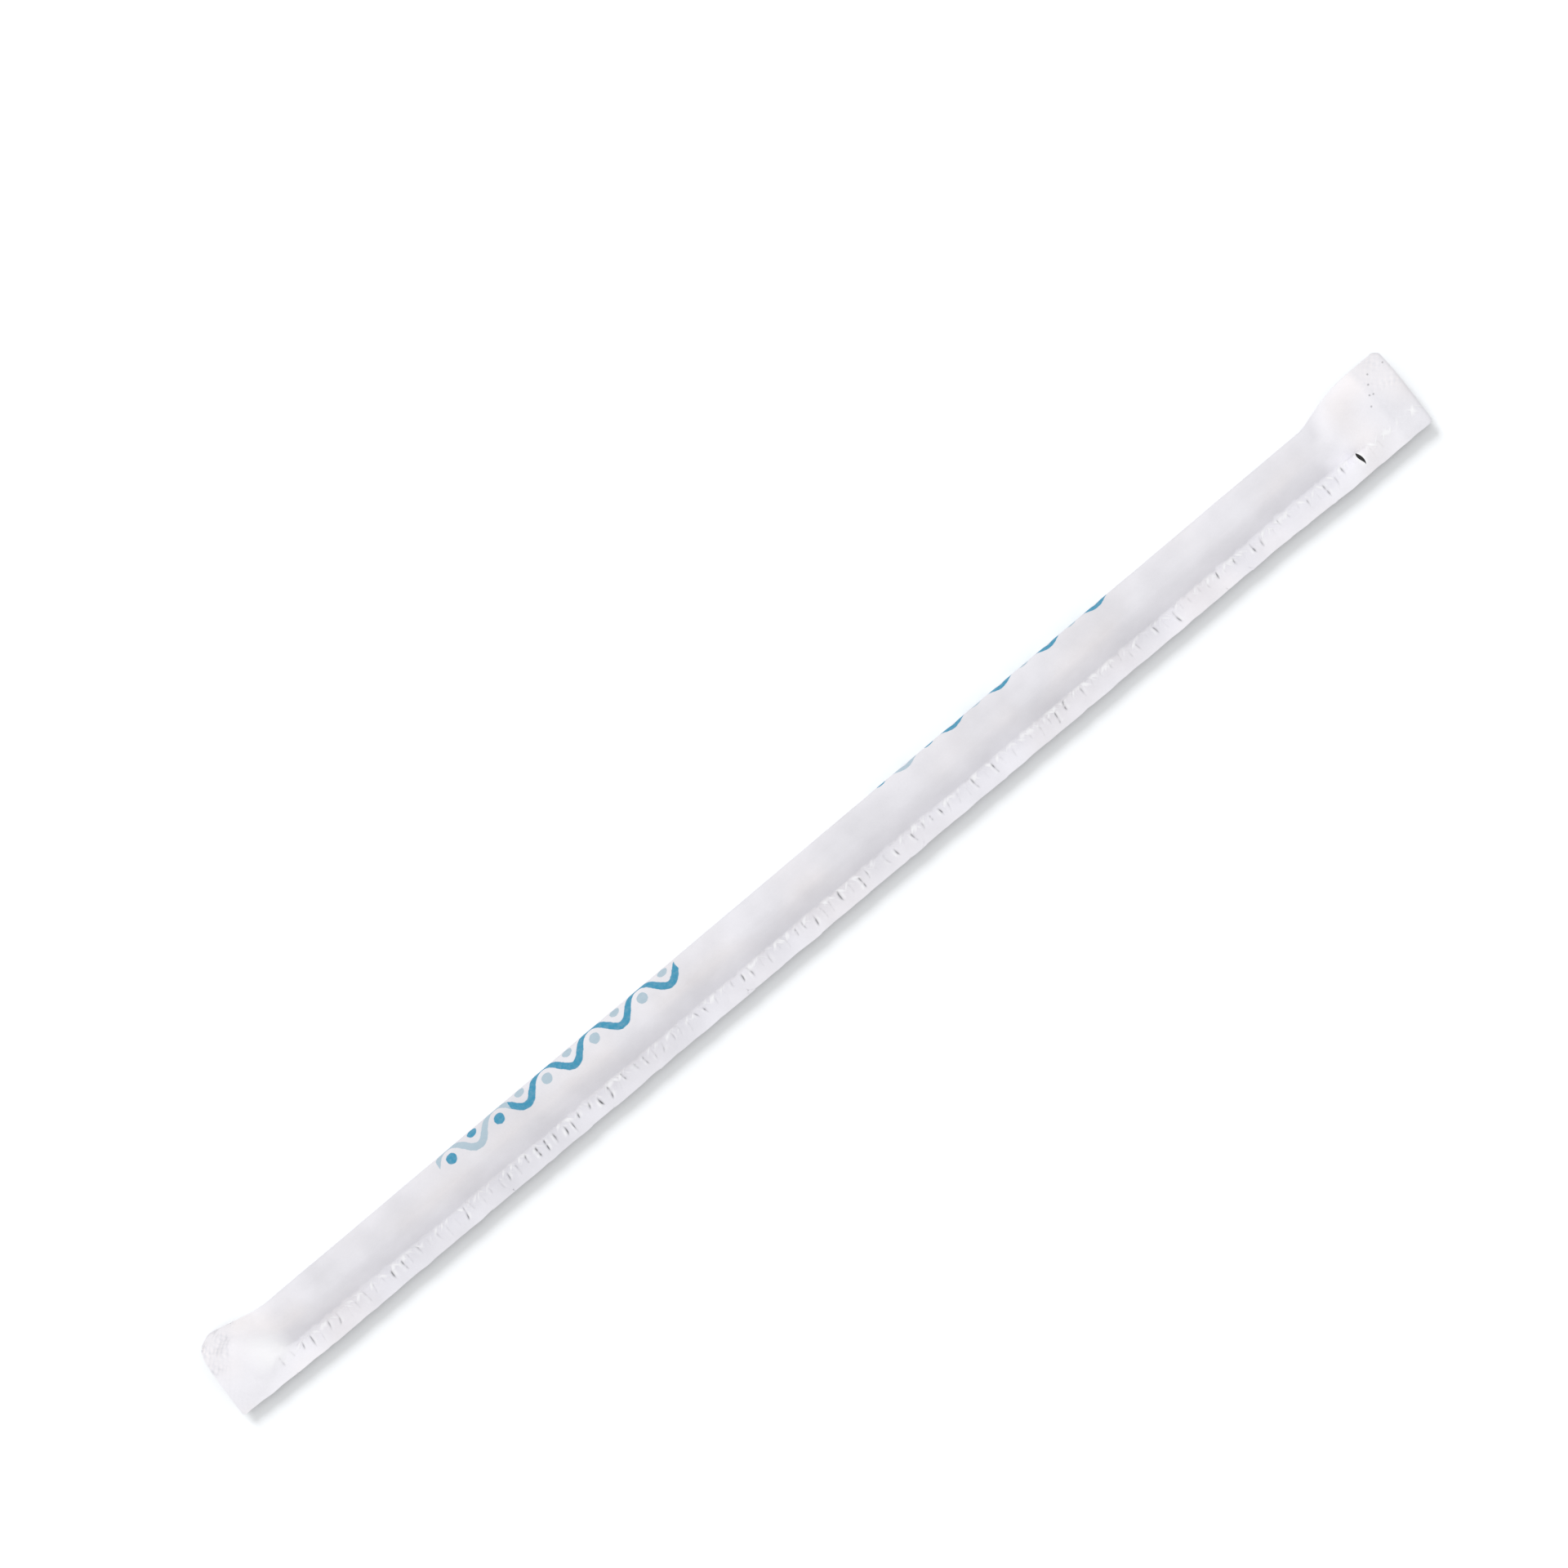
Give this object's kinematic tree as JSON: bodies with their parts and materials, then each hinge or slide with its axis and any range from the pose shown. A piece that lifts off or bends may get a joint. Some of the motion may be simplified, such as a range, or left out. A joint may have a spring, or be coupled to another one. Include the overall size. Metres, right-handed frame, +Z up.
{
  "type": "wrapped drinking straw",
  "caption": "Drinking straw sealed in its own white paper wrapper, with a crimped side seam and flat crimped ends.",
  "frame": {"origin": "on the surface that the pack rests on, below the straw's axis, halfway along the wrapper", "axes": "+X along the straw, +Z up from the surface it rests on, -Y towards the crimped side seam"},
  "size_m": [0.2379, 0.0142, 0.0051],
  "materials": {
    "wrapper_paper": "matte"
  },
  "bodies": {
    "root": {"wrapped_straw": "wrapper_paper"}
  },
  "joints": []
}
